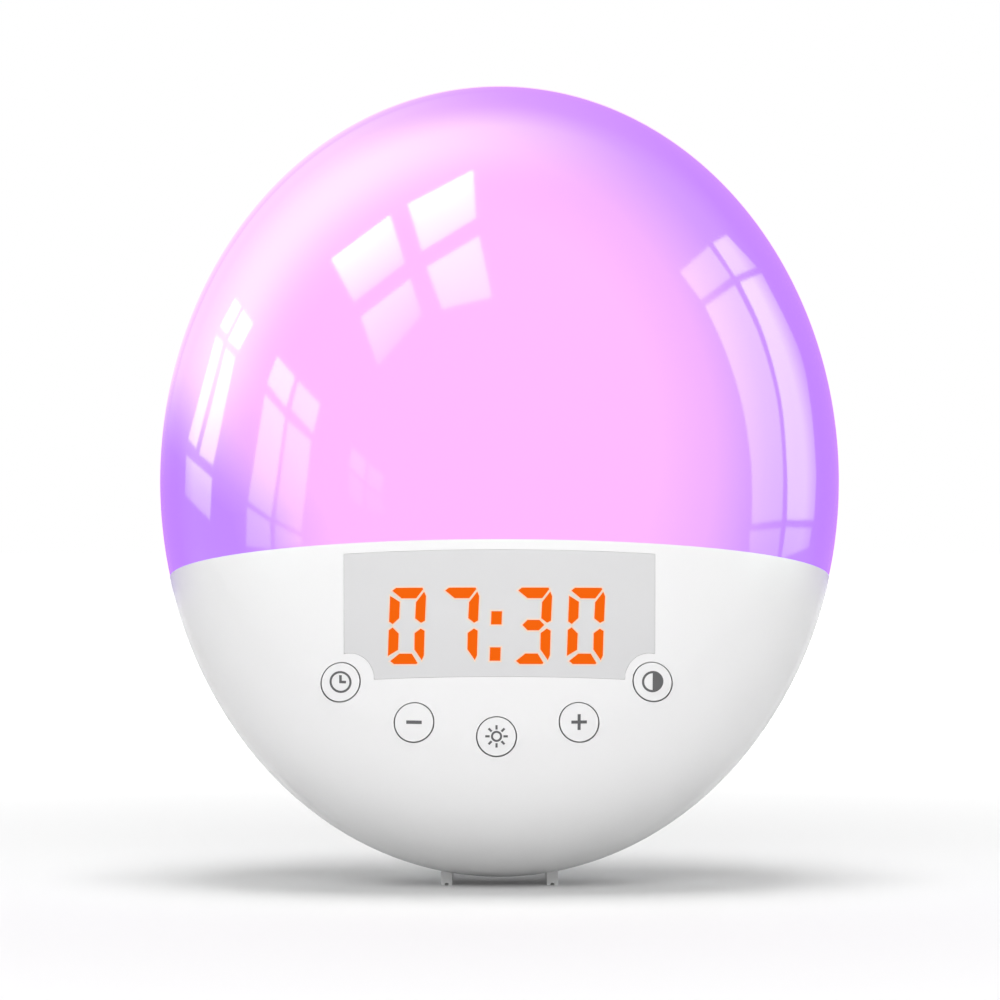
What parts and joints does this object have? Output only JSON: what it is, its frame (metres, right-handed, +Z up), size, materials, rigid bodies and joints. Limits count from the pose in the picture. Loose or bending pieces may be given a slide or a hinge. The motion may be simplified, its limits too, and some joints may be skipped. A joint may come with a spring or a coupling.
{
  "type": "sunrise alarm clock",
  "caption": "Egg-shaped sunrise alarm clock with a glowing dome, a digital display and keys on the lower panel, and thin feet.",
  "frame": {"origin": "on the floor, under the middle of the clock's width and depth", "axes": "+Z up, +Y to the back, +X to the right as seen from the front"},
  "size_m": [0.165, 0.1016, 0.1939],
  "materials": {
    "dome_plastic": "milky translucent, lit from inside",
    "white_plastic": "gloss",
    "window_plastic": "gloss, pale grey tint",
    "segment_plastic": "amber, lit",
    "inner_white": "matte",
    "led_plastic": "clear resin",
    "board_green": "solder mask",
    "board_white": "solder mask",
    "black_plastic": "matte",
    "bright_steel": "plain",
    "capacitor_metal": "plain",
    "basket_steel": "pressed",
    "magnet_ferrite": "matte",
    "cone_paper": "matte",
    "soft_black": "matte",
    "contact_metal": "plated",
    "screw_steel": "zinc plated",
    "key_plastic": "gloss",
    "plunger_plastic": "matte",
    "foot_rubber": "matte, soft white"
  },
  "bodies": {
    "case": {"light_dome": "dome_plastic", "front_panel": "white_plastic", "rear_shell": "white_plastic", "display_window": "window_plastic", "display_segments": "segment_plastic", "display_housing": "inner_white", "segment_dies": "led_plastic", "main_board": "board_green", "key_switches": "black_plastic", "control_chip": "black_plastic", "sound_chip": "black_plastic", "timing_crystal": "bright_steel", "capacitors": "capacitor_metal", "inner_frame": "inner_white", "light_bowl": "inner_white", "led_board": "board_white", "dome_leds": "led_plastic", "speaker_basket": "basket_steel", "speaker_magnet": "magnet_ferrite", "speaker_surround": "soft_black", "rear_board": "board_green", "rear_switches": "black_plastic", "backup_cell": "bright_steel", "cell_spring_contact": "contact_metal", "cell_side_contact": "contact_metal", "dc_jack": "black_plastic", "jack_pin": "contact_metal", "foot_left": "foot_rubber", "foot_right": "foot_rubber", "case_screws": "screw_steel", "dome_screws": "screw_steel", "panel_screws": "screw_steel", "main_board_screws": "screw_steel", "led_board_screws": "screw_steel", "speaker_screws": "screw_steel", "rear_board_screws": "screw_steel"},
    "key_time": {"button_time": "key_plastic", "plunger_time": "plunger_plastic"},
    "key_minus": {"button_minus": "key_plastic", "plunger_minus": "plunger_plastic"},
    "key_light": {"button_light": "key_plastic", "plunger_light": "plunger_plastic"},
    "key_plus": {"button_plus": "key_plastic", "plunger_plus": "plunger_plastic"},
    "key_contrast": {"button_contrast": "key_plastic", "plunger_contrast": "plunger_plastic"},
    "key_alarm_one": {"button_alarm_one": "key_plastic", "plunger_alarm_one": "plunger_plastic"},
    "key_alarm_two": {"button_alarm_two": "key_plastic", "plunger_alarm_two": "plunger_plastic"},
    "key_sound": {"button_sound": "key_plastic", "plunger_sound": "plunger_plastic"},
    "door": {"battery_door": "white_plastic"},
    "cone": {"speaker_cone": "cone_paper"}
  },
  "joints": [
    {"name": "press_time", "type": "slide", "parent": "case", "child": "key_time", "axis": [0, 0.9781, -0.2079], "range_m": [0, 0.0005], "stiffness_N_per_m": 400, "springref_m": -0.0005},
    {"name": "press_minus", "type": "slide", "parent": "case", "child": "key_minus", "axis": [0, 0.9781, -0.2079], "range_m": [0, 0.0005], "stiffness_N_per_m": 400, "springref_m": -0.0005},
    {"name": "press_light", "type": "slide", "parent": "case", "child": "key_light", "axis": [0, 0.9781, -0.2079], "range_m": [0, 0.0005], "stiffness_N_per_m": 400, "springref_m": -0.0005},
    {"name": "press_plus", "type": "slide", "parent": "case", "child": "key_plus", "axis": [0, 0.9781, -0.2079], "range_m": [0, 0.0005], "stiffness_N_per_m": 400, "springref_m": -0.0005},
    {"name": "press_contrast", "type": "slide", "parent": "case", "child": "key_contrast", "axis": [0, 0.9781, -0.2079], "range_m": [0, 0.0005], "stiffness_N_per_m": 400, "springref_m": -0.0005},
    {"name": "press_alarm_one", "type": "slide", "parent": "case", "child": "key_alarm_one", "axis": [0, -0.9781, 0.2079], "range_m": [0, 0.0005], "stiffness_N_per_m": 400, "springref_m": -0.0005},
    {"name": "press_alarm_two", "type": "slide", "parent": "case", "child": "key_alarm_two", "axis": [0, -0.9781, 0.2079], "range_m": [0, 0.0005], "stiffness_N_per_m": 400, "springref_m": -0.0005},
    {"name": "press_sound", "type": "slide", "parent": "case", "child": "key_sound", "axis": [0, -0.9781, 0.2079], "range_m": [0, 0.0005], "stiffness_N_per_m": 400, "springref_m": -0.0005},
    {"name": "door_turn", "type": "hinge", "parent": "case", "child": "door", "pos_m": [0, 0.04616, 0.12679], "axis": [0, 0.9781, -0.2079], "range_deg": [0, 60]},
    {"name": "cone_stroke", "type": "slide", "parent": "case", "child": "cone", "axis": [0, 0.9781, -0.2079], "range_m": [-0.0005, 0.0005], "stiffness_N_per_m": 1000}
  ]
}
